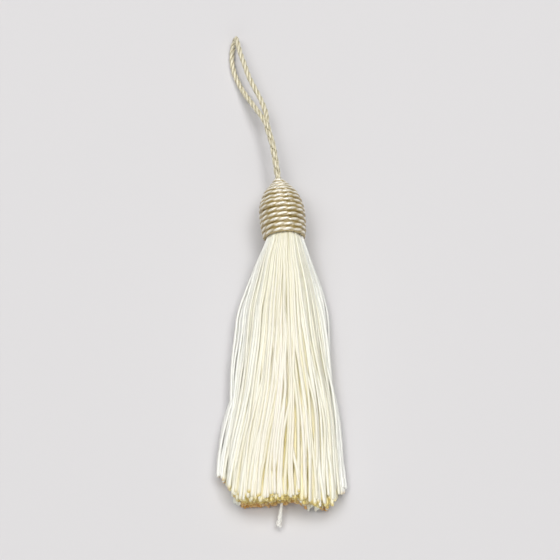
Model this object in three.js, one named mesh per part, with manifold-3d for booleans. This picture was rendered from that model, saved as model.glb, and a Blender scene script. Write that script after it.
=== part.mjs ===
// A tassel lying on its side: a head wound with cord, a skirt of yarn, and a hanging loop of the same cord.
// Millimetres, +Z up. The floor is z = 0, and +Y runs from the skirt's tips to the hanging loop.
// The pieces are worked out from the middle of the head's mouth, and then moved together so that
// the origin is on the floor, under the middle of the head and skirt.

import * as THREE from "three";
import { mergeVertices } from "three/addons/utils/BufferGeometryUtils.js";
import Module from "manifold-3d";

const wasm = await Module();
wasm.setup();

// Head: a mould wound from end to end with one cord
const headLength = 20;
const headRadius = 7.15; // to the outside of the winding, where the head is widest
const headYaw = THREE.MathUtils.degToRad(5.6); // the head lies a little askew of the skirt
const headAside = 0.3; // and to the right of the skirt's middle line
const windingTurns = 12;
const windingDepth = 0.6; // from a turn's crest to the groove between two turns
const rowsPerTurn = 5;
const headSides = 26;
const restFlat = 0.3; // how far the lowest crests are pressed flat on the floor
const mouthRadius = 5.4;
const mouthDepth = 2.6;
const axisHeight = headRadius - restFlat;

// The head's outline, from its mouth to the hanger: shares of its length and of its radius
const headOutline = [
  { along: 0, radius: 0.89 },
  { along: 0.05, radius: 0.93 },
  { along: 0.145, radius: 0.965 },
  { along: 0.275, radius: 0.993 },
  { along: 0.39, radius: 1 },
  { along: 0.495, radius: 0.98 },
  { along: 0.59, radius: 0.918 },
  { along: 0.67, radius: 0.84 },
  { along: 0.755, radius: 0.727 },
  { along: 0.825, radius: 0.575 },
  { along: 0.885, radius: 0.428 },
  { along: 0.935, radius: 0.315 },
  { along: 1, radius: 0.2 },
];

// Skirt: rows of yarn strands, bound into a root that sits in the head's mouth
const skirtLength = 80;
const yarnRows = 9;
const widestRow = 34; // strands in the row at the waist
const rowStagger = 0.5; // how far a row is set over from the next, as a share of a strand's room
const rowFullness = 1.9; // how square the skirt's section is: 2 is an ellipse
const yarnFill = 0.76; // a strand's share of the room between its neighbours
const yarnSway = 0.1; // how far a strand strays sideways at its tip, as a share of that room
const tipUnevenness = 0.8;
const unevenSeed = 7;
const rootGap = 0.3;
const rootRadius = mouthRadius - rootGap;
const rootLength = 1.9;
const rootSides = 32;

// Sections of the skirt, from its root to its tips: how far each lies from the mouth, its middle, half width,
// underside and top, and its waist, the share of its height at which it is widest. It is round in the mouth,
// and a mound where it lies on the floor
const skirtSections = [
  {
    along: -1.35,
    middle: headAside,
    halfWidth: 3.7,
    underside: axisHeight - 3.7,
    top: axisHeight + 3.7,
    waist: 0.5,
  },
  { along: 6, middle: 0.3, halfWidth: 8.1, underside: 0.9, top: 12.7, waist: 0.36 },
  { along: 15, middle: 0.4, halfWidth: 11.2, underside: 0, top: 12.9, waist: 0.14 },
  { along: 30, middle: -0.1, halfWidth: 13.5, underside: 0, top: 12.2, waist: 0.12 },
  { along: 54, middle: -0.1, halfWidth: 16.2, underside: 0, top: 10.8, waist: 0.12 },
  { along: skirtLength, middle: -0.4, halfWidth: 18.4, underside: 0, top: 9.2, waist: 0.12 },
];
const tipWaist = skirtSections.at(-1).waist;

// The tips, from the left edge (-1) to the right (1): how far the lowest row's reach past the skirt's length,
// and how far the cut leans back from there to the top row
const tipReach = [
  { across: -1, reach: -8.6, lean: 0.6 },
  { across: -0.9, reach: -6.6, lean: 0.8 },
  { across: -0.8, reach: -4.6, lean: 1.2 },
  { across: -0.71, reach: -0.5, lean: 2.2 },
  { across: -0.6, reach: 0.3, lean: 2.4 },
  { across: -0.2, reach: -0.3, lean: 2.4 },
  { across: 0.27, reach: -1, lean: 2 },
  { across: 0.38, reach: 0.4, lean: 1 },
  { across: 0.66, reach: 1.4, lean: 0.6 },
  { across: 0.76, reach: 0.6, lean: 0.6 },
  { across: 0.84, reach: -1.8, lean: 0.6 },
  { across: 0.95, reach: -4, lean: 0.6 },
  { across: 1, reach: -4, lean: 0.6 },
];

// Strands that bow out of an edge, left (-1) or right (1), by row from the floor: how far, and from
// where to where
const bowedStrands = [
  { side: -1, row: 2, bow: 1.9, from: 6, to: 52 },
  { side: -1, row: 1, bow: 1, from: 32, to: 80 },
  { side: 1, row: 2, bow: 0.8, from: 8, to: 46 },
];
const looseThread = { row: 1, column: 16, beyondTips: 7.2, fill: 0.45 };

// Hanger: one twisted cord that leaves the head, makes a loop and comes back
const cordRadius = 0.79; // in the loop
const stemCordRadius = 0.64; // where its two legs are laid up together
const cordPlies = 3;
const cordSides = 3 * cordPlies;
const plyRelief = 0.1; // how far the plies stand out, as a share of the cord's radius
const plyPitch = 9.6;
const stepsPerPlyTurn = 16;
const stemTurns = 3;
const stemPointsPerTurn = 8;
const stemOffset = 0.7; // from the stem's middle to the middle of each leg
const hangerGap = 0.3;
const thinUntil = 2; // the legs start to swell this far before the fork
const fullAfter = 4; // and are at their full size this far beyond it

// The stem's middle above the head, from the middle of the mouth: it bows a little on its way to the fork
const stemRoute = [
  [-2.2, 23.4, 6.8],
  [-2.8, 27.5, 6.6],
  [-3.5, 31.7, 6.4],
  [-4.6, 35.9, 6.1],
  [-5.6, 39.8, 5.9],
];

// The loop, from the fork up its right leg, over its end and down its left leg to the fork again
const loopRoute = [
  [-5.3, 41.6, 5.8],
  [-5.8, 43.6, 5.6],
  [-7.1, 47.2, 5.5],
  [-9.1, 51.5, 5.3],
  [-10.9, 55.5, 5.1],
  [-12.3, 59.8, 4.8],
  [-13.5, 63.5, 4.5],
  [-14.4, 67.0, 4.2],
  [-14.9, 69.3, 3.6],
  [-15.2, 70.5, 2.5],
  [-15.8, 69.6, 1.4],
  [-16.3, 67.5, 0.9],
  [-16.5, 64.9, 0.8],
  [-16.3, 62.0, 0.8],
  [-15.7, 59.0, 0.9],
  [-14.5, 55.8, 1.1],
  [-13.1, 52.6, 1.8],
  [-11.4, 49.4, 2.8],
  [-9.8, 46.6, 3.9],
  [-8.2, 43.8, 4.9],
  [-6.9, 41.6, 5.6],
];

// A closed geometry whose surface runs through rings of points and is capped at both ends.
// Each ring goes round the same way, counter-clockwise as seen from beyond the last ring.
function loft(rings) {
  const sides = rings[0].length;
  const index = [];
  for (let ring = 0; ring < rings.length - 1; ring++) {
    for (let side = 0; side < sides; side++) {
      const here = ring * sides + side;
      const beside = ring * sides + ((side + 1) % sides);
      index.push(here, beside, beside + sides, here, beside + sides, here + sides);
    }
  }
  const last = (rings.length - 1) * sides;
  for (let side = 1; side < sides - 1; side++) {
    index.push(0, side + 1, side);
    index.push(last, last + side, last + side + 1);
  }
  return new THREE.BufferGeometry().setFromPoints(rings.flat()).setIndex(index);
}

// A closed geometry as a solid that can be joined with others
function solidOf(geometry) {
  const bare = geometry.clone();
  bare.deleteAttribute("normal");
  bare.deleteAttribute("uv");
  const merged = mergeVertices(bare);
  return new wasm.Manifold(
    new wasm.Mesh({
      numProp: 3,
      vertProperties: new Float32Array(merged.attributes.position.array),
      triVerts: new Uint32Array(merged.index.array),
    }),
  );
}

function geometryOf(solid) {
  const { vertProperties, triVerts } = solid.getMesh();
  return new THREE.BufferGeometry()
    .setAttribute("position", new THREE.BufferAttribute(vertProperties, 3))
    .setIndex(new THREE.BufferAttribute(triVerts, 1));
}

// The head is turned about its own axis, +Y, and the winding is then raised in its points as one
// helical ridge. Its lowest crests are pressed flat where they lie on the floor.
function woundHead() {
  const outline = new THREE.SplineCurve(
    headOutline.map((row) => new THREE.Vector2(row.radius * headRadius, row.along * headLength)),
  );
  const woundRows = windingTurns * rowsPerTurn;
  const wound = outline.getSpacedPoints(woundRows);
  const mouth = [
    new THREE.Vector2(0, mouthDepth),
    new THREE.Vector2(mouthRadius, mouthDepth),
    new THREE.Vector2(mouthRadius, 0),
  ];
  const profile = [...mouth, ...wound, new THREE.Vector2(0, headLength)];
  const facetDown = Math.PI / headSides;
  const geometry = new THREE.LatheGeometry(profile, headSides, facetDown);

  const position = geometry.getAttribute("position");
  const point = new THREE.Vector3();
  for (let i = 0; i < position.count; i++) {
    point.fromBufferAttribute(position, i);
    const row = (i % profile.length) - mouth.length;
    if (row > 0 && row <= woundRows) {
      const share = row / woundRows;
      const round = Math.floor(i / profile.length) / headSides;
      const groove = 0.5 - 0.5 * Math.cos(2 * Math.PI * (windingTurns * share + round));
      const tangent = outline.getTangentAt(share);
      const radius = Math.hypot(point.x, point.z);
      const inward = (groove * windingDepth * tangent.y) / radius;
      point.x *= 1 - inward;
      point.z *= 1 - inward;
      point.y += groove * windingDepth * tangent.x;
    }
    point.z = Math.max(point.z, -axisHeight);
    position.setXYZ(i, point.x, point.y, point.z);
  }
  geometry.deleteAttribute("normal");
  geometry.deleteAttribute("uv");
  const merged = mergeVertices(geometry);
  merged.computeVertexNormals();
  return merged;
}

// The middle of a row of yarn, as a share of the skirt's height
function rowHeight(row) {
  return (row + 0.5) / yarnRows;
}

// Half the width of a row of yarn, as a share of the widest row's, in a section with this waist
function rowWidth(row, waist) {
  const overWaist = rowHeight(row) - waist;
  const share = overWaist > 0 ? overWaist / (1 - waist) : -overWaist / waist;
  return (1 - share ** rowFullness) ** (1 / rowFullness);
}

// The row of bowedStrands for a strand at either edge of the skirt, if it is one of them
function bowOf(row, column, columns) {
  return bowedStrands.find((strand) => strand.row === row && column === (strand.side < 0 ? 0 : columns - 1));
}

// How far a bowed strand stands out of the skirt's edge at a distance from the mouth, to the right
function bowAt(bowed, along) {
  const share = THREE.MathUtils.clamp((along - bowed.from) / (bowed.to - bowed.from), 0, 1);
  return bowed.side * bowed.bow * Math.sin(Math.PI * share);
}

// The skirt's sections with another one halfway between each two, for the smoother bend of a bowed strand
function closerSections() {
  const halfway = (a, b) =>
    Object.fromEntries(Object.keys(a).map((column) => [column, (a[column] + b[column]) / 2]));
  return skirtSections.flatMap((section, i) =>
    i ? [halfway(skirtSections[i - 1], section), section] : [section],
  );
}

// How far a tip reaches past the skirt's length, at a place from its left edge (-1) to its right (1) and at a
// height from the lowest row (0) to the top one (1)
function reachAt(across, height) {
  const next = tipReach.findIndex((tip, i) => i > 0 && (across <= tip.across || i === tipReach.length - 1));
  const [low, high] = [tipReach[next - 1], tipReach[next]];
  const share = THREE.MathUtils.clamp((across - low.across) / (high.across - low.across), 0, 1);
  const reach = THREE.MathUtils.lerp(low.reach, high.reach, share);
  return reach - height * THREE.MathUtils.lerp(low.lean, high.lean, share);
}

// One strand of yarn, three-sided with a flat underside, so that the lowest row lies level on the floor
function yarnStrand(row, column, columns) {
  const stagger = rowStagger * ((row % 2) - 0.5);
  const across = (2 * (column + 0.5 + stagger)) / columns - 1;
  const isLoose = row === looseThread.row && column === looseThread.column;
  const fill = isLoose ? looseThread.fill : yarnFill;
  const sway = yarnSway * (2 * THREE.MathUtils.seededRandom() - 1);
  const uneven = tipUnevenness * (2 * THREE.MathUtils.seededRandom() - 1);
  const reach = reachAt(across * rowWidth(row, tipWaist), row / (yarnRows - 1));
  const beyond = isLoose ? looseThread.beyondTips : 0;
  const length = skirtLength + reach + uneven + beyond;

  const bowed = bowOf(row, column, columns);
  const sections = bowed ? closerSections() : skirtSections;
  const rings = sections.map((section) => {
    const along = section.along > 0 ? (section.along * length) / skirtLength : section.along;
    const rowPitch = (section.top - section.underside) / yarnRows;
    const rowHalf = section.halfWidth * rowWidth(row, section.waist);
    const pitch = (2 * rowHalf) / columns;
    const strayed = sway * pitch * Math.max(0, section.along / skirtLength);
    const bow = bowed ? bowAt(bowed, section.along) : 0;
    const x = section.middle + across * rowHalf + strayed + bow;
    const halfYarn = (fill * pitch) / 2;
    const under = section.underside + row * rowPitch;
    return [
      new THREE.Vector3(x - halfYarn, -along, under),
      new THREE.Vector3(x + halfYarn, -along, under),
      new THREE.Vector3(x, -along, under + fill * rowPitch),
    ];
  });
  return loft(rings);
}

// The skirt's root is a short plug in line with the head, and every strand is joined to it
function boundSkirt() {
  const plug = new THREE.CylinderGeometry(rootRadius, rootRadius, rootLength, rootSides);
  plug.translate(0, mouthDepth - rootGap - rootLength / 2, 0);
  plug.rotateZ(headYaw);
  plug.translate(headAside, 0, axisHeight);
  let skirt = solidOf(plug);
  THREE.MathUtils.seededRandom(unevenSeed);
  for (let row = 0; row < yarnRows; row++) {
    const columns = Math.round(widestRow * rowWidth(row, tipWaist));
    for (let column = 0; column < columns; column++) {
      skirt = skirt.add(solidOf(yarnStrand(row, column, columns)));
    }
  }
  const geometry = geometryOf(skirt);
  geometry.computeVertexNormals();
  return geometry;
}

// Points up one leg of the stem, where the hanger's two legs are laid up round each other
function stemLeg(middle, phaseAtFork) {
  const up = new THREE.Vector3(0, 0, 1);
  const count = stemTurns * stemPointsPerTurn;
  const points = [];
  for (let i = 0; i <= count; i++) {
    const share = i / count;
    const ahead = middle.getTangentAt(share);
    const aside = new THREE.Vector3().crossVectors(ahead, up).normalize();
    const above = new THREE.Vector3().crossVectors(aside, ahead);
    const angle = phaseAtFork - 2 * Math.PI * stemTurns * (1 - share);
    points.push(
      middle
        .getPointAt(share)
        .addScaledVector(aside, stemOffset * Math.cos(angle))
        .addScaledVector(above, stemOffset * Math.sin(angle)),
    );
  }
  return points;
}

// The hanger's cord: a section with a bulge for each ply, which turns as it follows the route
function hangerCord() {
  const start = new THREE.Vector3(0, headLength + hangerGap, 0);
  start.applyAxisAngle(new THREE.Vector3(0, 0, 1), headYaw);
  start.add(new THREE.Vector3(headAside, 0, axisHeight));
  const stem = new THREE.CatmullRomCurve3([start, ...stemRoute.map((point) => new THREE.Vector3(...point))]);
  const loop = loopRoute.map((point) => new THREE.Vector3(...point));
  const rightLeg = stemLeg(stem, 0);
  const leftLeg = stemLeg(stem, Math.PI).reverse();
  const route = new THREE.CatmullRomCurve3([...rightLeg, ...loop, ...leftLeg]);
  const length = route.getLength();
  const steps = Math.round((length / plyPitch) * stepsPerPlyTurn);
  const frames = route.computeFrenetFrames(steps);
  const forkAt = stem.getPoint(1).y;

  const rings = [];
  for (let step = 0; step <= steps; step++) {
    const share = step / steps;
    const centre = route.getPointAt(share);
    const intoLoop = THREE.MathUtils.smoothstep(centre.y, forkAt - thinUntil, forkAt + fullAfter);
    const outside = THREE.MathUtils.lerp(stemCordRadius, cordRadius, intoLoop);
    const twist = (2 * Math.PI * share * length) / plyPitch;
    const ring = [];
    for (let side = 0; side < cordSides; side++) {
      const round = (2 * Math.PI * side) / cordSides;
      const radius = outside * (1 - plyRelief + plyRelief * Math.cos(cordPlies * round));
      ring.push(
        centre
          .clone()
          .addScaledVector(frames.normals[step], radius * Math.cos(round + twist))
          .addScaledVector(frames.binormals[step], radius * Math.sin(round + twist)),
      );
    }
    rings.push(ring);
  }
  const geometry = loft(rings);
  geometry.computeVertexNormals();
  return geometry;
}

const goldCord = new THREE.MeshStandardMaterial({ color: 0xc2ae7c, roughness: 0.5, metalness: 0 });
const creamYarn = new THREE.MeshStandardMaterial({ color: 0xf1e8cb, roughness: 0.45, metalness: 0 });
const paleCord = new THREE.MeshStandardMaterial({ color: 0xc4b992, roughness: 0.55, metalness: 0 });

const head = new THREE.Mesh(woundHead(), goldCord);
head.name = "head";
head.position.set(headAside, 0, axisHeight);
head.rotation.z = headYaw;

const skirt = new THREE.Mesh(boundSkirt(), creamYarn);
skirt.name = "skirt";

const hanger = new THREE.Mesh(hangerCord(), paleCord);
hanger.name = "hanger_cord";

const lying = new THREE.Group();
lying.add(head, skirt, hanger);
lying.updateMatrixWorld(true);
const body = new THREE.Box3().expandByObject(head, true).expandByObject(skirt, true);
const middle = body.getCenter(new THREE.Vector3());
lying.position.set(-middle.x, -middle.y, -body.min.z);

const tassel = new THREE.Group();
tassel.add(lying);

export default tassel;
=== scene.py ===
import math
import bpy
import numpy as np
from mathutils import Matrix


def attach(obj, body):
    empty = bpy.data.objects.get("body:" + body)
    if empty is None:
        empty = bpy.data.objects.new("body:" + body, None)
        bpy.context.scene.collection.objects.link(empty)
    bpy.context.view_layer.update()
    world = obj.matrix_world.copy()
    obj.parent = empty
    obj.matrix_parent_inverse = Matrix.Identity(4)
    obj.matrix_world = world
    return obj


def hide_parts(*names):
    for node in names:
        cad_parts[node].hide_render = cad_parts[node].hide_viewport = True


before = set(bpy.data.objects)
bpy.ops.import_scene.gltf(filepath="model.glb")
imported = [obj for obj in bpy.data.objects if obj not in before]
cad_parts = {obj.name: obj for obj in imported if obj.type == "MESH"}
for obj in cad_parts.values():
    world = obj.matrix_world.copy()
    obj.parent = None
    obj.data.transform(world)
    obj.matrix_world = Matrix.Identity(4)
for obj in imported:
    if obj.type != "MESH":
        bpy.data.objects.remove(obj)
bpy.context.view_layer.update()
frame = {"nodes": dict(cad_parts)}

scene = bpy.context.scene
mm = 0.001
print("frame loaded, nodes:", ", ".join(frame["nodes"]))

# where the tassel lies: everything is worked out from the middle of the head's mouth
lying = {
    "mouth": np.array((0.5245, 33.0397, 6.85)) * mm,  # the head's axis is 6.85 mm over the surface
    "headAside": np.array((0.3, 0, 0)) * mm,  # the head lies to the right of the skirt's middle line
    "headYaw": math.radians(5.6),  # and a little askew of it
    "headLength": 20.0 * mm,
}
underMouth = lying["mouth"] * (1, 1, 0) - lying["headAside"]


# vectors and curves

def unit(v):  # each vector over its own length
    return v / np.maximum(np.linalg.norm(v, axis=-1, keepdims=True), 1e-12)


# smooth curve through a table's rows: cubic Hermite pieces, each row's slope worked out from its neighbours
def smoothAt(knots, values, x):
    knots, values = np.asarray(knots, float), np.asarray(values, float)
    slopes = np.gradient(values, knots, axis=0)
    x = np.clip(x, knots[0], knots[-1])
    k = np.clip(np.searchsorted(knots, x, side="right") - 1, 0, len(knots) - 2)
    gap = knots[k + 1] - knots[k]
    t = (x - knots[k]) / gap
    if values.ndim > 1:
        t, gap = t[..., None], gap[..., None]
    start = (1 + 2 * t) * (1 - t) ** 2 * values[k] + t * (1 - t) ** 2 * gap * slopes[k]
    end = t * t * (3 - 2 * t) * values[k + 1] + t * t * (t - 1) * gap * slopes[k + 1]
    return start + end


def lengthsAlong(path):  # distance of each point of a path from its first point, along the path
    steps = np.linalg.norm(np.diff(path, axis=0), axis=1)
    return np.concatenate(([0.0], np.cumsum(steps)))


def columnsAt(x, knots, table):  # each column of a table, read off in straight pieces
    return np.stack([np.interp(x, knots, column) for column in np.asarray(table).T], axis=-1)


def evenPath(points, count):  # smooth path through the points, set out again in equal steps
    run = lengthsAlong(points)
    fine = smoothAt(run, points, np.linspace(0, run[-1], count * 6))
    run = lengthsAlong(fine)
    return columnsAt(np.linspace(0, run[-1], count), run, fine)


def ramp(x, low, high):  # 0 below low, 1 above high, smooth between
    t = np.clip((x - low) / (high - low), 0, 1)
    return t * t * (3 - 2 * t)


# head's own frame to the part's: turned by the yaw about the vertical
def turnHead(points):
    c, s = math.cos(lying["headYaw"]), math.sin(lying["headYaw"])
    return points @ np.array(((c, s, 0), (-s, c, 0), (0, 0, 1)))


def layHead(points):  # turned, then moved to the mouth
    return turnHead(points) + lying["mouth"]


# surfaces carried along paths

# frame along each path: T follows it, N is the reference less its part along T, B is T x N
def pathFrames(paths, reference):
    tangent = unit(np.gradient(paths, axis=-2))
    along = (reference * tangent).sum(-1, keepdims=True)
    normal = unit(reference - along * tangent)
    return tangent, normal, np.cross(tangent, normal)


# tube surface: each ring point is the path's point + N r cos a + B r sin a, on a grid of strand, station
# and side
def tubeRings(paths, reference, radius, angle, flatness=(1.0, 1.0)):
    _, normal, binormal = pathFrames(paths, reference)
    across = (flatness[0] * radius * np.cos(angle))[..., None]
    up = (flatness[1] * radius * np.sin(angle))[..., None]
    return paths[..., None, :] + normal[..., None, :] * across + binormal[..., None, :] * up


def anglesRound(sides):  # even angles once round
    return 2 * np.pi * np.arange(sides) / sides


# plies of a cord: each ply's middle circles the cord's path, one turn in each pitch, the plies evenly
# apart, and each ply is a tube of its own, thick enough to sink a little into its neighbours
def pliedRings(path, reference, radius, lay):
    _, normal, binormal = pathFrames(path, reference)
    turn = lay["handed"] * 2 * np.pi * lengthsAlong(path) / lay["pitch"]
    angle = turn[None, :, None] + anglesRound(lay["plies"])[:, None, None]
    outward = normal * np.cos(angle) + binormal * np.sin(angle)
    plyRadius = np.broadcast_to(lay["plyShare"] * radius, len(path))
    plies = path + (radius - plyRadius)[None, :, None] * outward
    return tubeRings(plies, outward, plyRadius[None, :, None], anglesRound(lay["sides"]))


# cord colour by how high a point stands: painted shade in hollows below low, painted highlight above high
def grooveDye(shadeHighlightDyes, height, low, high):
    groove, crest = np.array(shadeHighlightDyes["groove"]), np.array(shadeHighlightDyes["crest"])
    return groove + ramp(height, low, high)[..., None] * (crest - groove)


# closed tubes in one mesh: quads between neighbouring rings, and a fan to a middle point at either end
def sewTubes(name, rings, along, colours, endColours, material, domed=0.0):
    strands, stations, sides = rings.shape[:3]
    index = np.arange(strands * stations * sides).reshape(strands, stations, sides)
    beside = np.roll(index, -1, axis=2)
    walls = np.stack((index[:, :-1], beside[:, :-1], beside[:, 1:], index[:, 1:]), axis=-1)
    walls = walls.reshape(-1, 4)
    first = index.size + np.arange(strands)[:, None]
    last = first + strands
    rootFan = np.stack(np.broadcast_arrays(first, beside[:, 0], index[:, 0]), axis=-1).reshape(-1, 3)
    tipFan = np.stack(np.broadcast_arrays(last, index[:, -1], beside[:, -1]), axis=-1).reshape(-1, 3)
    tips = rings[:, -1].mean(1)
    tips = tips + domed * unit(tips - rings[:, -2].mean(1))
    points = np.concatenate((rings.reshape(-1, 3), rings[:, 0].mean(1), tips))
    corners = np.concatenate((walls.ravel(), rootFan.ravel(), tipFan.ravel()))
    fans = len(rootFan) + len(tipFan)
    sizes = np.concatenate((np.full(len(walls), 4), np.full(fans, 3)))

    mesh = bpy.data.meshes.new(name)
    mesh.vertices.add(len(points))
    mesh.loops.add(len(corners))
    mesh.polygons.add(len(sizes))
    mesh.vertices.foreach_set("co", points.astype(np.float32).ravel())
    mesh.loops.foreach_set("vertex_index", corners.astype(np.int32))
    mesh.polygons.foreach_set("loop_start", (np.cumsum(sizes) - sizes).astype(np.int32))
    mesh.polygons.foreach_set("use_smooth", np.repeat((True, False), (len(walls), fans)))
    mesh.update(calc_edges=True)

    # round the thread in u, along it in v (in metres)
    u = np.broadcast_to(np.arange(sides) / sides, (strands, stations - 1, sides))
    v = np.broadcast_to(along[..., None], (strands, stations, sides))
    wallU = np.stack((u, u + 1 / sides, u + 1 / sides, u), axis=-1)
    wallV = np.stack((v[:, :-1], v[:, :-1], v[:, 1:], v[:, 1:]), axis=-1)
    fanV = np.concatenate((np.repeat(along[:, 0], sides * 3), np.repeat(along[:, -1], sides * 3)))
    uv = np.stack((np.concatenate((wallU.ravel(), np.full(fanV.size, 0.5))),
                   np.concatenate((wallV.ravel(), fanV))), axis=-1)
    mesh.uv_layers.new(name="thread").data.foreach_set("uv", uv.astype(np.float32).ravel())

    # each point's colour: the thread's dye, with any painted shade and highlight worked into it
    painted = np.ones((len(points), 4), np.float32)
    shape = (strands, stations, sides, 3)
    painted[:index.size, :3] = np.broadcast_to(colours, shape).reshape(-1, 3)
    painted[index.size:, :3] = endColours
    dye = mesh.color_attributes.new("dye", "FLOAT_COLOR", "POINT")
    dye.data.foreach_set("color", painted.ravel())

    mesh.materials.append(material)
    piece = bpy.data.objects.new(name, mesh)
    scene.collection.objects.link(piece)
    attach(piece, "root")
    print(name, "has", int((sizes - 2).sum()), "triangles")
    return piece


# what the finish of every thread has in common
thread = {
    "sheenRoughness": 0.4,
    "streakDetail": 3.0,
    "streakRange": (0.25, 0.75),  # the part of the noise that darkens the dye
    "streakHeight": 1.5,  # how much of the noise goes into the fibres' height
}


# dyed thread: the piece's dye, with any painted shade and highlights, streaked along the thread, over a bump
# of fibres that wind round it
def threadMaterial(name, finish):
    material = bpy.data.materials.new(name)
    material.use_nodes = True
    nodes, links = material.node_tree.nodes, material.node_tree.links
    shader = nodes["Principled BSDF"]
    shader.inputs["Metallic"].default_value = finish["metallic"]
    shader.inputs["Specular IOR Level"].default_value = finish["specular"]
    shader.inputs["Specular Tint"].default_value = (*finish["shine"], 1)
    shader.inputs["IOR"].default_value = finish["ior"]
    shader.inputs["Sheen Weight"].default_value = finish["sheen"]
    shader.inputs["Sheen Roughness"].default_value = thread["sheenRoughness"]
    shader.inputs["Sheen Tint"].default_value = (*finish["sheenTint"], 1)

    dye = nodes.new("ShaderNodeAttribute")
    dye.attribute_name = "dye"
    uv = nodes.new("ShaderNodeUVMap")
    uv.uv_map = "thread"
    apart = nodes.new("ShaderNodeSeparateXYZ")
    links.new(uv.outputs["UV"], apart.inputs["Vector"])

    def reckon(op, a, b):  # a math node on two sockets or values
        node = nodes.new("ShaderNodeMath")
        node.operation = op
        for socket, value in zip(node.inputs, (a, b)):
            if isinstance(value, bpy.types.NodeSocket):
                links.new(value, socket)
            else:
                socket.default_value = value
        return node.outputs["Value"]

    def spread(value, fromRange, toRange):  # one range of values stretched over another
        node = nodes.new("ShaderNodeMapRange")
        for socket, number in zip(("From Min", "From Max", "To Min", "To Max"), (*fromRange, *toRange)):
            node.inputs[socket].default_value = number
        links.new(value, node.inputs["Value"])
        return node.outputs["Result"]

    # streaks: noise that changes quickly round the thread and slowly along it
    streakAt = nodes.new("ShaderNodeMapping")
    streakAt.inputs["Scale"].default_value = (finish["streaksRound"], finish["streaksAlong"], 1)
    links.new(uv.outputs["UV"], streakAt.inputs["Vector"])
    streak = nodes.new("ShaderNodeTexNoise")
    streak.inputs["Scale"].default_value = 1.0
    streak.inputs["Detail"].default_value = thread["streakDetail"]
    links.new(streakAt.outputs["Vector"], streak.inputs["Vector"])
    depth = finish["streakDepth"]
    tone = spread(streak.outputs["Fac"], thread["streakRange"], (1 - depth, 1))
    streaked = nodes.new("ShaderNodeVectorMath")
    streaked.operation = "SCALE"
    links.new(dye.outputs["Color"], streaked.inputs[0])
    links.new(tone, streaked.inputs["Scale"])
    links.new(streaked.outputs["Vector"], shader.inputs["Base Color"])
    links.new(spread(streak.outputs["Fac"], (0, 1), finish["roughness"]), shader.inputs["Roughness"])

    # fibres: sine of (count x round + along / lay), so that they wind round the thread as they go
    winding = reckon("ADD", reckon("MULTIPLY", apart.outputs["X"], finish["fibres"]),
                     reckon("MULTIPLY", apart.outputs["Y"], 1 / finish["fibreLay"]))
    wave = reckon("SINE", reckon("MULTIPLY", winding, 2 * math.pi), 0.0)
    fibre = reckon("ADD", wave, reckon("MULTIPLY", streak.outputs["Fac"], thread["streakHeight"]))
    bump = nodes.new("ShaderNodeBump")
    bump.inputs["Strength"].default_value = finish["fibreStrength"]
    bump.inputs["Distance"].default_value = finish["fibreHeight"]
    links.new(fibre, bump.inputs["Height"])
    links.new(bump.outputs["Normal"], shader.inputs["Normal"])
    return material


view = {
    "lens": 100.0,
    "sensor": 36.0,
    "clipStart": 0.01,
    "frameWidth": 168.0 * mm,
    "elevation": math.radians(70.0),  # the photo's angle
    "target": underMouth + np.array((-1.14, -12.5, 5.0)) * mm,
}


# camera: from the target back along the photo's angle, by the frame's width x lens / sensor
def setCamera():
    data = bpy.data.cameras.new("camera")
    data.lens = view["lens"]
    data.sensor_width = view["sensor"]
    data.clip_start = view["clipStart"]
    camera = bpy.data.objects.new("camera", data)
    scene.collection.objects.link(camera)
    reach = view["frameWidth"] * view["lens"] / view["sensor"]
    back = np.array((0, -math.cos(view["elevation"]), math.sin(view["elevation"])))
    camera.location = view["target"] + reach * back
    camera.rotation_euler = (math.pi / 2 - view["elevation"], 0, 0)
    scene.camera = camera
    print("camera", round(reach, 3), "m away")


setCamera()

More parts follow.
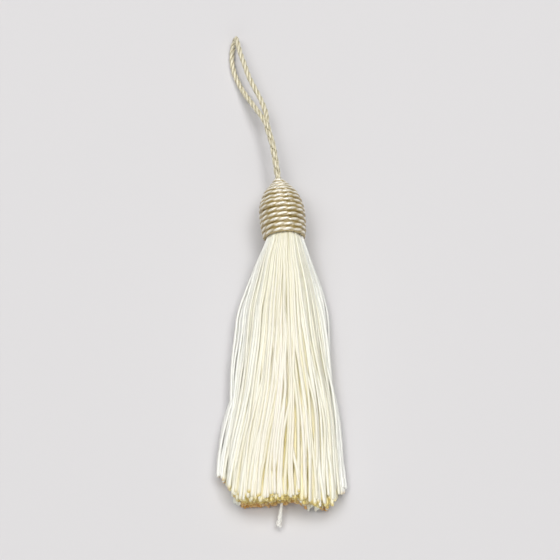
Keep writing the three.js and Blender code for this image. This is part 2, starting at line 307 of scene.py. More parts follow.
hanger = {
    "intoHead": 0.9 * mm,
    "stem": [  # the stem's middle from above the head to the fork, from under the mouth
        (-0.0022, 0.0234, 0.0068), (-0.0028, 0.0275, 0.0066), (-0.0035, 0.0317, 0.0064),
        (-0.0046, 0.0359, 0.0061), (-0.0056, 0.0398, 0.0059),
    ],
    "loop": [  # from the fork up the right leg, over the loop's end and down the left leg
        (-0.0053, 0.0416, 0.0058), (-0.0058, 0.0436, 0.0056), (-0.0071, 0.0472, 0.0055),
        (-0.0091, 0.0515, 0.0053), (-0.0109, 0.0555, 0.0051), (-0.0123, 0.0598, 0.0048),
        (-0.0135, 0.0635, 0.0045), (-0.0144, 0.0670, 0.0042), (-0.0149, 0.0693, 0.0036),
        (-0.0152, 0.0705, 0.0025), (-0.0158, 0.0696, 0.0014), (-0.0163, 0.0675, 0.0009),
        (-0.0165, 0.0649, 0.0008), (-0.0163, 0.0620, 0.0008), (-0.0157, 0.0590, 0.0009),
        (-0.0145, 0.0558, 0.0011), (-0.0131, 0.0526, 0.0018), (-0.0114, 0.0494, 0.0028),
        (-0.0098, 0.0466, 0.0039), (-0.0082, 0.0438, 0.0049), (-0.0069, 0.0416, 0.0056),
    ],
    "stemTurns": 3,
    "pointsPerTurn": 12,
    "stemOffset": 0.48 * mm,  # from the stem's middle to each leg's
    "loopRadius": 0.84 * mm,
    "stemRadius": 0.7 * mm,
    "stemSqueeze": (0.74, 1.14),  # a leg in the stem is pressed flat on the other: through it, along it
    "thickens": (-2.0 * mm, 4.0 * mm),  # along from the fork: from the stem's radius to the loop's
    "lay": {"plies": 3, "pitch": 7.2 * mm, "plyShare": 0.58, "handed": 1, "sides": 10},
    "length": 0.114,
    "steps": 460,
    # the cord's dye, darker in the hollows between plies as painted shade and paler on the tops as painted
    # highlight
    "shadeHighlightDyes": {"groove": (0.45, 0.39, 0.22), "crest": (0.86, 0.8, 0.6)},
    "shadeHighlightHeights": (0.72, 0.96),  # heights of the painted shade below and the painted highlight above, in cord radii
    "finish": {"metallic": 0.0, "specular": 1.0, "shine": (1.0, 0.95, 0.8), "ior": 1.6, "sheen": 0.15,
               "sheenTint": (1.0, 0.95, 0.8), "roughness": (0.25, 0.42),
               "streaksRound": 5.0, "streaksAlong": 500.0, "streakDepth": 0.28,
               "fibres": 7.0, "fibreLay": 3.2 * mm, "fibreStrength": 0.3, "fibreHeight": 0.05 * mm},
}


# a leg of the stem circles the stem's middle, half a turn from the other leg
def stemLeg(middle, phaseAtFork):
    _, aside, below = pathFrames(middle, np.array((1.0, 0, 0)))
    share = np.linspace(0, 1, len(middle))[:, None]
    angle = phaseAtFork - 2 * np.pi * hanger["stemTurns"] * (1 - share)
    return middle + hanger["stemOffset"] * (aside * np.cos(angle) - below * np.sin(angle))


# hanging cord: plies along one path, up a leg of the stem, round the loop and down the other leg
def makeHanger():
    top = layHead(np.array((0, lying["headLength"] - hanger["intoHead"], 0))) - underMouth
    stemPoints = hanger["stemTurns"] * hanger["pointsPerTurn"]
    middle = evenPath(np.concatenate((top[None], hanger["stem"])), stemPoints)
    points = np.concatenate((stemLeg(middle, 0), hanger["loop"], stemLeg(middle, np.pi)[::-1]))
    path = evenPath(points + underMouth, hanger["steps"])
    middle = middle + underMouth
    length = lengthsAlong(path)[-1]
    start, end = hanger["thickens"]
    inLoop = ramp(path[:, 1], middle[-1, 1] + start, middle[-1, 1] + end)
    radius = hanger["stemRadius"] + (hanger["loopRadius"] - hanger["stemRadius"]) * inLoop
    rings = pliedRings(path, np.array((1.0, 0, 0)), radius, hanger["lay"])
    # painted shade in the hollows between plies and painted highlight on their tops, by how far a point
    # stands out
    high = np.linalg.norm(rings - path[:, None, :], axis=-1) / radius[:, None]
    dye = grooveDye(hanger["shadeHighlightDyes"], high, *hanger["shadeHighlightHeights"])

    # each leg is squeezed in the stem: what stands out from the stem's middle shrinks, the rest grows
    tangent = unit(np.gradient(path, axis=0))
    outward = unit(path - columnsAt(path[:, 1], middle[:, 1], middle))
    spare = rings - path[:, None, :]
    for way, share in zip((outward, np.cross(tangent, outward)), hanger["stemSqueeze"]):
        part = (spare * way[:, None, :]).sum(-1, keepdims=True)
        rings = rings + (share - 1) * ((1 - inLoop)[:, None] * way)[:, None, :] * part

    along = np.broadcast_to(lengthsAlong(path), rings.shape[:2])
    cordFinish = threadMaterial("beigeCord", hanger["finish"])
    cord = sewTubes("hangerCord", rings, along, dye, hanger["shadeHighlightDyes"]["groove"], cordFinish)
    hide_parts("hanger_cord")
    print("hanging cord is", f"{length * 1000:.1f} mm long")


makeHanger()

head = {
    "outline": np.array([  # along from the mouth, radius to the winding's crest
        (0.0, 6.36), (1.0, 6.65), (2.9, 6.9), (5.5, 7.1), (7.8, 7.15), (9.9, 7.0), (11.8, 6.56),
        (13.4, 6.0), (15.1, 5.2), (16.5, 4.11), (17.7, 3.06), (18.7, 2.25), (20.0, 1.43)]) * mm,
    "outlineSteps": 800,
    "turns": 12.9,
    "windingSteps": 6000,
    "startBack": 0.5,  # the winding begins this much of a turn before its place at the mouth
    "endShort": 0.6,  # and ends this many cord radii before the outline does
    "uneven": 0.012,  # turns shift along by this share of the length
    "unevenWaves": (0.73, 1.31),  # and so many times back and forth in a turn
    "cordRadius": 0.9 * mm,
    "lay": {"plies": 3, "pitch": 8.4 * mm, "plyShare": 0.73, "handed": -1, "sides": 12},
    "stepsPerPitch": 26,
    # the cord's dye, darker in the hollows between turns and plies as painted shade, near white on the tops
    # as painted highlight
    "shadeHighlightDyes": {"groove": (0.415, 0.305, 0.098), "crest": (1.0, 0.955, 0.82)},
    "shadeHighlightHeights": (0.79, 0.99),  # heights of the painted shade below and the painted highlight above, in cord radii
    "highlightWidensToTop": (0.6, 0.95, 0.08),  # the painted highlight on the tops widens towards the hanger: from, to, and how far
    "mouldDye": (0.20, 0.13, 0.05),
    "mouldEnds": (0.02, 0.985),  # as shares of the outline
    "mouldDepth": 1.15,  # under the outline, in cord radii
    "mouldLeast": 0.5 * mm,
    "mouldRings": 40,
    "mouldSides": 48,
    "finish": {"metallic": 0.0, "specular": 1.0, "shine": (1.0, 0.98, 0.93), "ior": 1.85, "sheen": 0.0,
               "sheenTint": (1.0, 0.95, 0.8), "roughness": (0.15, 0.25),
               "streaksRound": 5.0, "streaksAlong": 400.0, "streakDepth": 0.2,
               "fibres": 8.0, "fibreLay": 4.0 * mm, "fibreStrength": 0.15, "fibreHeight": 0.05 * mm},
}


# head's outline at a share of its length: its point, along and out, its outward normal, and the length
def headProfile(share):
    knots = lengthsAlong(head["outline"])
    fine = smoothAt(knots, head["outline"], np.linspace(0, knots[-1], head["outlineSteps"]))
    run = lengthsAlong(fine)
    at = np.asarray(share) * run[-1]
    tangent = unit(columnsAt(at, run, unit(np.gradient(fine, axis=0))))
    return columnsAt(at, run, fine), np.stack((-tangent[..., 1], tangent[..., 0]), axis=-1), run[-1]


def roundAxis(alongOut, angle):  # (along, out) and the angle round the head's axis to x, y, z
    along, out, angle = np.broadcast_arrays(alongOut[..., 0], alongOut[..., 1], angle)
    return np.stack((out * np.sin(angle), along, out * np.cos(angle)), axis=-1)


# head: a mould under turns of cord, laid side by side from the mouth to the hanger
def makeHead():
    # winding: the cord's middle runs a cord radius inside the outline, and turns as it climbs from beneath
    cordRadius = head["cordRadius"]
    length = headProfile(0.0)[2]
    first = cordRadius / length - head["startBack"] / head["turns"]
    last = 1 - head["endShort"] * cordRadius / length
    share = np.linspace(first, last, head["windingSteps"])
    angle = np.pi - 2 * np.pi * head["turns"] * (share - first) / (last - first)
    inner = np.sin(np.pi * (share - first) / (last - first))
    slow, quick = head["unevenWaves"]
    share = share + head["uneven"] * inner * (np.sin(slow * angle) + np.sin(quick * angle + 1)) / 2
    point, normal, _ = headProfile(share)
    path, outward = roundAxis(point - cordRadius * normal, angle), roundAxis(normal, angle)
    run = lengthsAlong(path)
    even = np.linspace(0, run[-1], int(run[-1] / head["lay"]["pitch"] * head["stepsPerPitch"]))
    path = layHead(columnsAt(even, run, path))
    outward = turnHead(unit(columnsAt(even, run, outward)))
    rings = pliedRings(path, outward, cordRadius, head["lay"])
    # painted shade in the hollows and painted highlight on the tops, the highlight wider towards the hanger
    high = ((rings - path[:, None, :]) * outward[:, None, :]).sum(-1) / cordRadius
    start, end, widen = head["highlightWidensToTop"]
    toTop = ramp(np.linspace(0, 1, len(path)), start, end)[:, None]
    dye = grooveDye(head["shadeHighlightDyes"], high + widen * toTop, *head["shadeHighlightHeights"])
    rings[..., 2] = np.maximum(rings[..., 2], 0)  # pressed flat on the surface
    along = np.broadcast_to(even, rings.shape[:2])
    goldFinish = threadMaterial("goldCord", head["finish"])
    winding = sewTubes("headWinding", rings, along, dye, head["shadeHighlightDyes"]["groove"], goldFinish)
    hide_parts("head")
    print("winding is", f"{run[-1] * 1000:.0f} mm of cord in {head['turns']} turns")

    # mould: the outline, a little inside the cord, turned about the axis
    point, normal, _ = headProfile(np.linspace(*head["mouldEnds"], head["mouldRings"]))
    inside = point - head["mouldDepth"] * cordRadius * normal
    inside[:, 1] = np.maximum(inside[:, 1], head["mouldLeast"])
    rings = layHead(roundAxis(inside[:, None, :], -anglesRound(head["mouldSides"])))[None]
    mould = sewTubes("headMould", rings, inside[None, :, 0], head["mouldDye"], head["mouldDye"],
                     goldFinish)
    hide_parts("head")


makeHead()

# lengths in mm, but for the finish
skirt = {
    "pitch": 0.66,  # yarn to yarn at the tips
    "rowPitch": 0.866,  # row to row there, in pitches
    "pastEdge": 1.03,  # rows begin this far out and are then pressed in
    "shake": 0.35,  # how far the rows are shaken, in pitches
    "pushes": 40,
    "pushShare": 0.25,  # how much of the room that a yarn lacks each push gives it
    "yarnRadius": 0.41,
    "thins": 0.32,  # the power of the section's area that a yarn's radius follows towards the mouth
    "thickness": 0.16,  # a yarn's radius differs from the others' by up to this share
    "fullness": 1.9,  # how square the skirt's section is: 2 is an ellipse
    "halfWidth": 18.4,
    "height": 9.2,
    "waist": (0.5, 0.12),  # where it is widest, as a share of its height: at the mouth, and lying flat
    "flatFrom": (1.0, 17.0),
    "length": 80.0,
    "seed": 5,
    "sections": [  # from the mouth, left edge, right edge, underside and top
        (-1.6, -4.4, 5.2, 2.4, 11.6), (0.0, -5.1, 5.95, 1.8, 12.3), (2.5, -6.0, 6.8, 1.4, 12.65),
        (7.0, -8.1, 8.4, 0.7, 12.8), (12.0, -9.7, 10.2, 0.25, 12.95), (17.0, -11.1, 11.6, 0.05, 12.9),
        (22.0, -12.3, 12.6, 0.0, 12.7), (30.0, -13.1, 13.4, 0.0, 12.2), (40.0, -14.4, 14.3, 0.0, 11.7),
        (48.0, -15.3, 15.2, 0.0, 11.2), (55.0, -16.4, 15.9, 0.0, 10.8), (62.0, -17.6, 16.5, 0.0, 10.3),
        (70.0, -18.5, 17.2, 0.0, 9.8), (79.0, -18.8, 17.9, 0.0, 9.3), (84.0, -18.9, 18.2, 0.0, 9.1)],
    "tipReach": [  # from the left edge (-1) to the right (1): how far the lowest tips reach past the length,
        # how far the cut leans back from there to the top, the share of golden ends, and how uneven they are
        (-1.0, -8.0, 0.2, 0.5, 0.8), (-0.9, -6.0, 0.3, 0.4, 0.8), (-0.8, -4.0, 0.6, 0.3, 1.0),
        (-0.71, 0.0, 1.8, 0.4, 1.0), (-0.62, 0.6, 2.1, 1.0, 1.1), (-0.2, 0.2, 0.8, 1.0, 1.1),
        (0.1, -0.3, 0.6, 1.0, 1.0), (0.25, -0.7, 0.6, 1.0, 1.0), (0.36, 0.6, 1.7, 0.8, 1.8),
        (0.66, 1.2, 2.0, 0.65, 2.2), (0.76, 0.4, 1.5, 0.6, 2.1), (0.84, -1.4, 0.8, 0.4, 1.5),
        (0.95, -4.0, 0.0, 0.3, 1.0), (1.0, -4.0, 0.0, 0.2, 0.8)],
    "underEven": 0.6,  # ends under the upper yarns are less uneven
    "rightBundle": (0.28, 0.5),  # across, where the longer bundle begins
    "goldenTop": (0.45, 0.25),  # share of golden ends on the upper yarns, and what the bundle adds
    "goldenUnder": 0.6,  # what it takes from the others
    "tipRound": [  # before the tip, and the yarn's radius there
        (1.2, 1.0), (0.6, 0.98), (0.3, 0.88), (0.12, 0.7), (0.0, 0.45)],
    "tipDome": 0.06,
    "outerEdge": 0.8,  # nearness to the outline: yarns past this show
    "innerEdge": 0.5,  # and those short of this are deep inside
    "swell": 0.16,  # yarns open out from the middle to the cut ends
    "gather": 0.5,  # how far the yarns are drawn towards the top at the mouth
    "leftOpens": 2.2,  # on the left they open with this power of the length
    "rightOpens": (18.0, 58.0),  # on the right from here to there
    "levels": 0.18,  # how far yarns stand out or sink in, in radii
    "hidden": 0.5,  # share of yarns that lie deeper by the mouth and come up between the others
    "sink": 1.2,  # how deep, in radii
    "sweep": (2.4, -2.0, 6.0),  # the middle yarns swing left towards the tips: how far, where, how widely
    "locks": 44,
    "lockPull": 0.07,
    "lie": {
        "leftSide": (-0.1, 0.35),  # across to the left, where the left's way of opening takes over
        "levelWander": (0.3, 46.0),  # in and out: how far, in radii, and the wave's length
        "rise": (5.0, 50.0, 22.0),  # deeper yarns come up: from, over how much of the length, each within
        "freeFrom": (0.0, 40.0),  # yarns come free of the mouth from here to there
        "lockTilt": 0.3,
        "wanders": [(0.75, 62.0), (0.2, 25.0)],  # sideways: how far and the wave's length
        "waveSpread": 0.35,  # waves differ in length by up to this share
        "tipSpread": (14.0, 0.4),  # a tip strays sideways over this much of its end, and by how much
        "tipLift": (12.0, 0.3),  # and up or down
        "sweepFrom": (42.0, 84.0),
        "partingWidth": 1.3,
        "partingSteep": 3.0,
        "partingUp": (0.0, 0.5),  # how high yarns lie that part
        "swellFrom": (36.0, 0.8),  # they swell from here, fully at this much before the tip
    },
    "partings": [  # where the upper yarns part: from and to along the skirt, its middle there, and how far
        (24.0, 62.0, 3.2, 4.6, 0.05), (6.0, 36.0, -5.2, -10.8, 0.06), (50.0, 88.0, 2.2, 4.4, 0.04),
        (46.0, 74.0, -1.6, -1.0, 0.04)],
    "strays": [  # yarns that bow out of an edge: place across and up, how far, from and to along the skirt
        (-1.0, 0.0, -2.2, 7.0, 53.0), (-0.99, 0.25, -1.9, 7.0, 53.0), (-0.98, 0.12, -2.0, 8.0, 52.0),
        (-1.0, 0.2, -1.3, 6.0, 50.0), (-0.98, 0.3, -0.7, 6.0, 48.0), (-0.99, 0.05, -0.9, 8.0, 54.0),
        (-0.97, 0.36, -0.3, 6.0, 46.0), (-0.95, 0.3, -0.2, 8.0, 50.0),
        (-1.0, -0.2, -1.0, 46.0, 76.0), (-0.99, 0.3, -0.75, 47.0, 77.0), (1.0, 0.1, 0.9, 7.0, 38.0),
        (0.98, 0.2, 0.4, 7.0, 40.0)],
    "twistPitch": 9.0,
    "twistSpread": (0.8, 1.25),  # least and most, in pitches
    "plyRelief": 0.02,
    "flatness": (1.14, 0.97),  # yarns press each other flat: wider along the skirt's surface than across it
    "cream": (0.945, 0.91, 0.77),
    "pinkish": (0.955, 0.89, 0.79),
    "greenish": (0.985, 0.99, 0.87),
    "white": (0.98, 0.98, 0.95),  # at the very edges
    "shade": (0.88, 0.83, 0.62),
    "flankShade": (0.865, 0.825, 0.62),  # painted shade on the sides towards the neighbouring yarns, by the mouth
    "flankShadeLow": (0.98, 0.88, 0.48),  # and the same painted shade by the tips
    "inner": (1.0, 0.89, 0.42),  # yarns under the outermost, where light has passed from yarn to yarn
    # cut ends: golden, partly the cut fibres' own colour and partly painted shade on the end faces,
    # orange-brown painted shade where an end lies low
    "goldAndShade": (0.83, 0.65, 0.19),
    "amberShade": (0.74, 0.39, 0.08),
    "dyeing": {
        "greenEdge": (0.4, 0.6),  # how greenish yarns are at the edges: all of them, and by their tint
        "shadePower": 2.5,
        "low": (30.0, 78.0),  # along the skirt, from the colours by the mouth to those by the tips
        "lowDarker": 0.03,
        "flankGreen": (0.9, 4),  # how greenish flanks are at the edges, and the power of the place across
        "whiteEdge": (0.8, 12),  # the same for white
        "crowdedShade": (0.32, 6.0, 36.0),  # how much more of a yarn takes the painted side shade by the mouth, from and to along it
        "facing": (0.3, 0.8),  # from the painted side shade to the yarn's own top colour
        "inner": (0.86, 0.97),  # nearness to the outline, from the inner colour, painted light passed between yarns, to a yarn's own
        "pale": (8.0, 4.0),  # before the tip, from and to, where deep yarns turn pale
        "giltShade": (3.0, 1.3, 0.1),  # before the tip: where the golden end colour, partly painted shade, begins on deep yarns, on others, and is full
        "giltSoft": 0.25,  # how gradually yarns go from plain to golden
        "amberUp": (0.05, 0.6),  # up the cut face, from the orange-brown painted shade by the surface to the golden colour
    },
    "finish": {"metallic": 0.0, "specular": 1.0, "shine": (1.0, 1.0, 1.0), "ior": 1.5, "sheen": 0.05,
               "sheenTint": (1.0, 0.98, 0.9), "roughness": (0.32, 0.46),
               "streaksRound": 6.0, "streaksAlong": 60.0, "streakDepth": 0.18,
               "fibres": 8.0, "fibreLay": 3.6 * mm, "fibreStrength": 0.3, "fibreHeight": 0.03 * mm},
}
chance = np.random.default_rng(skirt["seed"])


def heightParts(height, waist):  # parts of a height under and over the waist
    return height * waist, height * (1 - waist)


# from a place under (-1) or over (1) the waist to a share of the skirt's height at the tips
def heightShare(up):
    low, high = heightParts(1.0, skirt["waist"][1])
    return low + up * np.where(up > 0, high, low)


# tips: a staggered grid inside the skirt's outline, shaken, then pushed apart until none crowds another,
# given as shares of the half width and half height, with how near each is to the outline
def packedTips():
    halfWidth = skirt["halfWidth"] - skirt["yarnRadius"]
    height = skirt["height"] - 2 * skirt["yarnRadius"]
    low, high = heightParts(height, skirt["waist"][1])
    pitch, fullness = skirt["pitch"], skirt["fullness"]
    rows = np.arange(-low, high + pitch, pitch * skirt["rowPitch"])
    columns = np.arange(-halfWidth - pitch, halfWidth + pitch, pitch)
    z, x = np.meshgrid(rows, columns, indexing="ij")
    x = x + (np.arange(len(rows))[:, None] % 2) * pitch / 2
    tips = np.stack((x.ravel(), z.ravel()), axis=1)

    def shares(tips):  # across over the half width, up over the height on that side of the waist
        up = np.where(tips[:, 1] > 0, high, low)
        return tips / np.stack((np.full(len(tips), halfWidth), up), axis=1)

    def edgeShare(tips):  # 1 on the outline, 0 in the middle
        return (np.abs(shares(tips)) ** fullness).sum(1) ** (1 / fullness)

    tips = tips[edgeShare(tips) < skirt["pastEdge"]]
    tips = tips + chance.uniform(-skirt["shake"], skirt["shake"], tips.shape) * pitch
    for _ in range(skirt["pushes"]):
        apart = tips[:, None] - tips[None]
        gap = np.linalg.norm(apart, axis=2) + 1e-9
        push = np.clip(pitch - gap, 0, None) / gap
        np.fill_diagonal(push, 0)
        tips = tips + skirt["pushShare"] * (apart * push[..., None]).sum(1)
        tips = tips / np.maximum(edgeShare(tips), 1)[:, None]
    return shares(tips), edgeShare(tips)


# a slow sine along each yarn, with its own reach, wave length and phase
def wander(count, along, reach, wave):
    own = chance.uniform(-1, 1, (3, count, 1))
    wave = wave * (1 + skirt["lie"]["waveSpread"] * own[1])
    return reach * own[0] * np.sin(2 * np.pi * along / wave + np.pi * own[2])


def signedPower(x, power):  # the power of a number's size, with its sign
    return np.sign(x) * np.abs(x) ** power


# yarn paths: a yarn keeps its depth in the section, which narrows to the mouth, while its angle round the
# section (0 on top) opens from the mouth to the tips; across and up are the sine and cosine to the power
# 2 / fullness. Then yarns draw together in locks, wander, part at a few places, and bow out of the edges
def yarnPaths(tips, lengths, bows, stations):
    count, fullness, lie = len(tips), skirt["fullness"], skirt["lie"]
    table = np.array(skirt["sections"])
    beforeTip = np.array(skirt["tipRound"])[:, 0]
    share = np.linspace(0, 1, stations - len(beforeTip) + 1)
    lengths = lengths[:, None]
    along = table[0, 0] + share * (lengths - beforeTip[0] - table[0, 0])
    along = np.concatenate((along, lengths - beforeTip[1:]), axis=1)
    left, right, under, top = np.moveaxis(smoothAt(table[:, 0], table[:, 1:], along), -1, 0)
    tipRoom = (table[-1, 2] - table[-1, 1]) * (table[-1, 4] - table[-1, 3])
    radius = skirt["yarnRadius"] * ((right - left) * (top - under) / tipRoom) ** skirt["thins"]
    halfWidth = (right - left) / 2 - radius
    atMouth, atTips = skirt["waist"]
    waist = atMouth + (atTips - atMouth) * ramp(along, *skirt["flatFrom"])
    low, high = heightParts(top - under - 2 * radius, waist)
    bow, bowStart, bowEnd = bows.T[..., None]

    tipAcross, tipUp = tips[:, :1], tips[:, 1:]
    depth = (np.abs(tips) ** fullness).sum(1, keepdims=True) ** (1 / fullness)
    angle = np.arctan2(signedPower(tipAcross, fullness / 2), signedPower(tipUp, fullness / 2))
    onLeft = ramp(-tipAcross, *lie["leftSide"])
    opened = onLeft * np.clip(along / lengths, 0, 1) ** skirt["leftOpens"]
    opened = opened + (1 - onLeft) * ramp(along, *skirt["rightOpens"])
    gather = skirt["gather"] * (bow == 0) * np.clip(1 - (2 * angle / np.pi) ** 2, 0, None)
    angle = angle * (1 - gather * (1 - opened))
    home = depth * signedPower(np.sin(angle), 2 / fullness)
    height = depth * signedPower(np.cos(angle), 2 / fullness)
    reach = np.where(height > 0, high, low)
    outward = np.stack((signedPower(home, fullness - 1) / halfWidth,
                        signedPower(height, fullness - 1) / reach + 1e-6), axis=-1)
    outward = unit(outward)
    level = skirt["levels"] * chance.uniform(-1, 1, (count, 1)) + wander(count, along, *lie["levelWander"])
    level = radius * level
    hidden, rise = chance.uniform(0, 1, (2, count, 1))
    riseFrom, riseOver, riseWithin = lie["rise"]
    rise = riseFrom + riseOver * rise
    sunk = (hidden < skirt["hidden"]) * (1 - ramp(along, rise, rise + riseWithin))
    level = level - radius * skirt["sink"] * sunk
    x = (left + right) / 2 + home * halfWidth + level * outward[..., 0]
    z = under + radius + low + height * reach + level * outward[..., 1]

    free = ramp(along, *lie["freeFrom"])
    lock = np.floor((tipAcross + 1) / 2 * skirt["locks"] + lie["lockTilt"] * tipUp)
    lockMiddle = (lock + 0.5) / skirt["locks"] * 2 - 1
    x = x + skirt["lockPull"] * free * (lockMiddle - tipAcross) * halfWidth
    x = x + free * sum(wander(count, along, *each) for each in lie["wanders"])
    spreadOver, spread = lie["tipSpread"]
    x = x + ramp(along, lengths - spreadOver, lengths) * spread * chance.uniform(-1, 1, (count, 1))
    liftOver, lift = lie["tipLift"]
    z = z + ramp(along, lengths - liftOver, lengths) * lift * chance.uniform(-1, 1, (count, 1))

    sweep, sweepAt, sweepWidth = skirt["sweep"]
    near = np.exp(-((x - sweepAt) / sweepWidth) ** 2)
    x = x - sweep * (bow == 0) * ramp(along, *lie["sweepFrom"]) * near
    for start, end, xStart, xEnd, opening in skirt["partings"]:
        part = np.clip((along - start) / (end - start), 0, 1)
        off = (x - xStart - part * (xEnd - xStart)) / lie["partingWidth"]
        aside = np.tanh(lie["partingSteep"] * off)
        x = x + ramp(height, *lie["partingUp"]) * opening * np.sin(np.pi * part) * aside * np.exp(-off * off)
    x = x + bow * np.sin(np.pi * np.clip((along - bowStart) / (bowEnd - bowStart), 0, 1))

    swellFrom, beforeEnd = lie["swellFrom"]
    radius = radius * (1 + skirt["swell"] * ramp(along, swellFrom, lengths - beforeEnd))
    radius = radius * (1 + skirt["thickness"] * chance.uniform(-1, 1, (count, 1)))
    z = np.maximum(z, radius)
    paths = np.stack((x, -along, z), axis=-1) * mm + underMouth
    outline = np.stack((outward[..., 1], np.zeros(x.shape), -outward[..., 0]), axis=-1)
    return paths, outline, along * mm, radius * mm


# yarn section: radius r (1 - d + d cos 2(a - t)) at angle a, where t turns along the yarn so that two plies
# show, then drawn out along the skirt's outline and pressed in across it
def yarnRings(paths, outline, along, radius, sides):
    angle = anglesRound(sides)
    relief = skirt["plyRelief"]
    pitch = skirt["twistPitch"] * mm * chance.uniform(*skirt["twistSpread"], (len(paths), 1))
    turn = 2 * np.pi * along / pitch + chance.uniform(0, 2 * np.pi, (len(paths), 1))
    lobed = radius[..., None] * (1 - relief + relief * np.cos(2 * (angle - turn[..., None])))
    rounding = np.array(skirt["tipRound"])[:, 1]
    blunt = np.concatenate((np.ones(paths.shape[1] - len(rounding)), rounding))
    return tubeRings(paths, outline, lobed * blunt[:, None], angle, skirt["flatness"])


# yarn colours: cream with a tint and a shade of its own, greenish and white at the skirt's edges, painted
# shade on its sides towards its neighbours, warm painted light under the outermost yarns, and golden at the
# cut end, partly its own colour and partly painted shade, with orange-brown painted shade where the end is
# low
def yarnColours(tips, edge, along, lengths, golden, sides):
    dyeing = skirt["dyeing"]
    run, lengths = along / mm, lengths[:, None]

    def colour(name):  # a dye by its name
        return np.array(skirt[name])

    tint, shade, cut = chance.uniform(0, 1, (3, len(tips), 1, 1, 1))
    edge = edge[:, None, None, None]
    outer, up = np.abs(tips.T)[0, :, None, None, None], tips[:, 1, None, None, None]
    always, byTint = dyeing["greenEdge"]
    dye = colour("cream") + tint * (1 - outer) * (colour("pinkish") - colour("cream"))
    dye = dye + outer ** 2 * (always + byTint * tint) * (colour("greenish") - colour("cream"))
    dye = dye + shade ** dyeing["shadePower"] * (colour("shade") - dye)
    low = ramp(run, *dyeing["low"])[..., None, None] * (1 - outer ** 2)
    # colour of the painted shade on the yarns' sides towards their neighbours, yellower towards the tips
    flankShade = colour("flankShade") + low * (colour("flankShadeLow") - colour("flankShade"))
    green, power = dyeing["flankGreen"]
    flankShade = flankShade + green * outer ** power * (colour("greenish") - flankShade)
    white, power = dyeing["whiteEdge"]
    dye, flankShade = (part + white * outer ** power * (colour("white") - part) for part in (dye, flankShade))

    # more of each yarn takes the painted side shade by the mouth, where the yarns crowd
    most, start, end = dyeing["crowdedShade"]
    crowdedShade = most * (1 - ramp(run, start, end))[..., None, None]
    facing = np.sin(anglesRound(sides))[:, None] - crowdedShade
    dye = dye * (1 - dyeing["lowDarker"] * low)
    dye = dye + (1 - ramp(facing, *dyeing["facing"])) * (flankShade - dye)
    # yarns under the outermost take the warm inner colour, painted in place of grey shade as light passed
    # from yarn to yarn
    dye = dye + (1 - ramp(edge, *dyeing["inner"])) * (colour("inner") - dye)

    deep = (edge < skirt["outerEdge"]) | (up <= 0)
    start, end = dyeing["pale"]
    pale = ramp(run, lengths - start, lengths - end)[..., None, None]
    dye = np.where(deep, dye + pale * (colour("greenish") - dye), dye)
    # golden cut ends, partly painted shade: on deep yarns it reaches further back as painted shade between
    # yarns, and low on the cut face it turns to orange-brown painted shade
    giltDeep, giltOuter, giltFull = dyeing["giltShade"]
    start = np.where(deep, giltDeep, giltOuter)[..., 0, 0]
    toTip = ramp(run, lengths - start, lengths - giltFull)[..., None, None]
    plain = 1 - golden[:, None, None, None]
    share = ramp(cut, plain - dyeing["giltSoft"], plain + dyeing["giltSoft"])
    giltShade = colour("amberShade") + ramp(heightShare(up), *dyeing["amberUp"]) * (colour("goldAndShade") - colour("amberShade"))
    return dye + toTip * share * (giltShade - dye)


# skirt: yarns packed side by side at the tips and drawn together into the mouth
def makeSkirt():
    tips, edge = packedTips()
    strays = np.array(skirt["strays"])
    bows = np.concatenate((np.tile((0.0, 0.0, 1.0), (len(tips), 1)), strays[:, 2:]))
    tips = np.concatenate((tips, strays[:, :2]))
    edge = np.concatenate((edge, np.ones(len(strays))))
    across, up = tips.T
    table = np.array(skirt["tipReach"])
    reach, lean, golden, uneven = columnsAt(across, table[:, 0], table[:, 1:]).T
    outerEdge, innerEdge = skirt["outerEdge"], skirt["innerEdge"]
    onTop = (edge > outerEdge) & (up > 0)
    uneven = uneven * chance.uniform(-1, 1, len(tips)) * np.where(onTop, 1.0, skirt["underEven"])
    lengths = skirt["length"] + reach - lean * heightShare(up) + uneven
    inBundle = ramp(across, *skirt["rightBundle"])
    share, more = skirt["goldenTop"]
    golden = golden * np.where(onTop, share + more * inBundle, 1 - skirt["goldenUnder"] * inBundle)
    yarnFinish = threadMaterial("creamYarn", skirt["finish"])
    layers = {  # which yarns, sides and stations
        "skirtUpper": (onTop, 8, 48),
        "skirtLower": ((edge > outerEdge) & (up <= 0), 8, 40),
        "skirtUnder": ((edge > innerEdge) & (edge <= outerEdge), 6, 40),
        "skirtInner": (edge <= innerEdge, 5, 22),
    }
    for name, (chosen, sides, stations) in layers.items():
        paths, outline, along, radius = yarnPaths(tips[chosen], lengths[chosen], bows[chosen], stations)
        rings = yarnRings(paths, outline, along, radius, sides)
        dye = yarnColours(tips[chosen], edge[chosen], along, lengths[chosen], golden[chosen], sides)
        ends = np.concatenate((dye[:, 0].mean(1), dye[:, -1].mean(1)))
        piece = sewTubes(name, rings, along, dye, ends, yarnFinish, domed=skirt["tipDome"] * mm)
        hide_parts("skirt")
        print(name, len(paths), "yarns")
    return yarnFinish


skirtFinish = makeSkirt()

loose = {
    "path": np.array([  # across, along from the mouth, up
        (-0.2, 68.0, 3.8), (-0.45, 75.0, 3.5), (-0.6, 79.2, 3.0), (-1.1, 83.0, 2.3), (-1.6, 86.4, 1.8)]),
    "fibres": 6,
    "fibreRadius": 0.2 * mm,
    "bundle": 0.24 * mm,  # from the thread's middle to each fibre's
    "fray": 0.5 * mm,  # how far they come apart
    "frayFrom": (0.6, 1.15),  # from and to, as shares of the thread
    "frayShares": (0.7, 0.3),  # fibres come apart alike, and unlike
    "frayWaves": 3,
    "twistPitch": 5.0 * mm,
    "stations": 70,
    "sides": 6,
    "dye": (1.0, 0.99, 0.94),
}


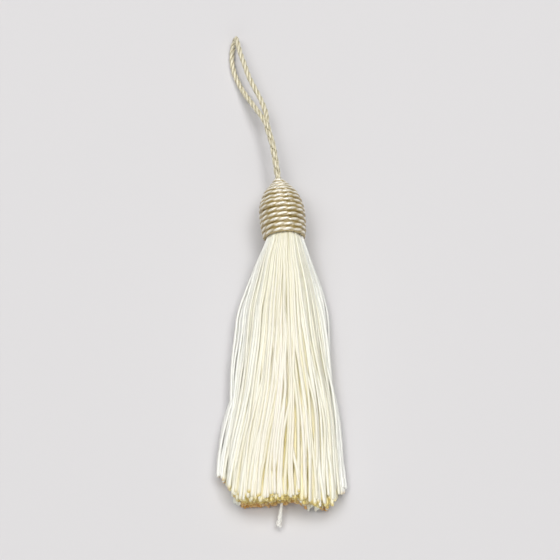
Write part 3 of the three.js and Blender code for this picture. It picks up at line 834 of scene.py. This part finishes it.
# loose thread: fibres circle its middle side by side, and swing outward over the last part
def makeLooseThread():
    middle = evenPath(loose["path"] * (1, -1, 1) * mm + underMouth, loose["stations"])
    _, aside, above = pathFrames(middle, np.array((1.0, 0, 0)))
    share = np.linspace(0, 1, loose["stations"])[None, :, None]
    phase = anglesRound(loose["fibres"])[:, None, None]
    along = lengthsAlong(middle)
    angle = phase + 2 * np.pi * along[None, :, None] / loose["twistPitch"]
    alike, unlike = loose["frayShares"]
    apart = alike + unlike * np.cos(loose["frayWaves"] * phase)
    out = loose["bundle"] + loose["fray"] * ramp(share, *loose["frayFrom"]) * apart
    paths = middle + out * (aside * np.cos(angle) + above * np.sin(angle))
    radius = np.full((1, 1, 1), loose["fibreRadius"])
    rings = tubeRings(paths, np.array((1.0, 0, 0)), radius, anglesRound(loose["sides"]))
    along = np.broadcast_to(along, rings.shape[:2])
    piece = sewTubes("looseThread", rings, along, loose["dye"], loose["dye"], skirtFinish)
    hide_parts("skirt")


makeLooseThread()

room = {
    "floorSize": 6.0,
    "floorDrop": 0.02 * mm,
    "floorColour": (0.672, 0.659, 0.664),
    "floorRoughness": 0.9,
    "floorSpecular": 0.2,
    "horizon": 0.02,  # the sky's strength, rising from the horizon to the zenith
    "zenith": 0.2,
    "lights": [  # azimuth from +Y towards +X, elevation, distance, width, height, watts
        (-88, 64, 3.0, 1.2, 1.2, 20.0),
        (70, 64, 3.0, 1.2, 1.2, 23.0),
        (-88, 48, 3.0, 0.75, 0.75, 3.1),
        (0, 62, 3.0, 3.0, 1.1, 48.0),
        (180, 62, 3.0, 1.5, 1.1, 6.2),
        (180, 22, 3.0, 3.0, 1.2, 24.0),
    ],
}


# surface and light: a wide floor, a sky that brightens to the zenith, and soft lights that face the origin
def makeRoom():
    half = room["floorSize"] / 2
    mesh = bpy.data.meshes.new("floor")
    corners = np.array(((-half, -half), (half, -half), (half, half), (-half, half)))
    mesh.from_pydata([(x, y, -room["floorDrop"]) for x, y in corners], [], [(0, 1, 2, 3)])
    floorFinish = bpy.data.materials.new("paleFloor")
    floorFinish.use_nodes = True
    shader = floorFinish.node_tree.nodes["Principled BSDF"]
    shader.inputs["Base Color"].default_value = (*room["floorColour"], 1)
    shader.inputs["Roughness"].default_value = room["floorRoughness"]
    shader.inputs["Specular IOR Level"].default_value = room["floorSpecular"]
    mesh.materials.append(floorFinish)
    floor = bpy.data.objects.new("floor", mesh)
    scene.collection.objects.link(floor)

    world = bpy.data.worlds.new("studio")
    world.use_nodes = True
    nodes, links = world.node_tree.nodes, world.node_tree.links
    looking = nodes.new("ShaderNodeTexCoord")
    apart = nodes.new("ShaderNodeSeparateXYZ")
    climb = nodes.new("ShaderNodeMapRange")
    climb.inputs["To Min"].default_value = room["horizon"]
    climb.inputs["To Max"].default_value = room["zenith"]
    links.new(looking.outputs["Generated"], apart.inputs["Vector"])
    links.new(apart.outputs["Z"], climb.inputs["Value"])
    links.new(climb.outputs["Result"], nodes["Background"].inputs["Strength"])
    nodes["Background"].inputs["Color"].default_value = (1, 1, 1, 1)
    scene.world = world

    for number, (azimuth, elevation, distance, width, height, watts) in enumerate(room["lights"]):
        data = bpy.data.lights.new(f"softLight{number}", "AREA")
        data.shape = "RECTANGLE"
        data.size = width
        data.size_y = height
        data.energy = watts
        light = bpy.data.objects.new(f"softLight{number}", data)
        scene.collection.objects.link(light)
        a, e = math.radians(azimuth), math.radians(elevation)
        light.location = (distance * math.sin(a) * math.cos(e), distance * math.cos(a) * math.cos(e),
                          distance * math.sin(e))
        light.rotation_euler = (math.pi / 2 - e, 0, math.pi - a)
    scene.view_settings.view_transform = "Standard"
    print("floor, world and", len(room["lights"]), "lights")


makeRoom()
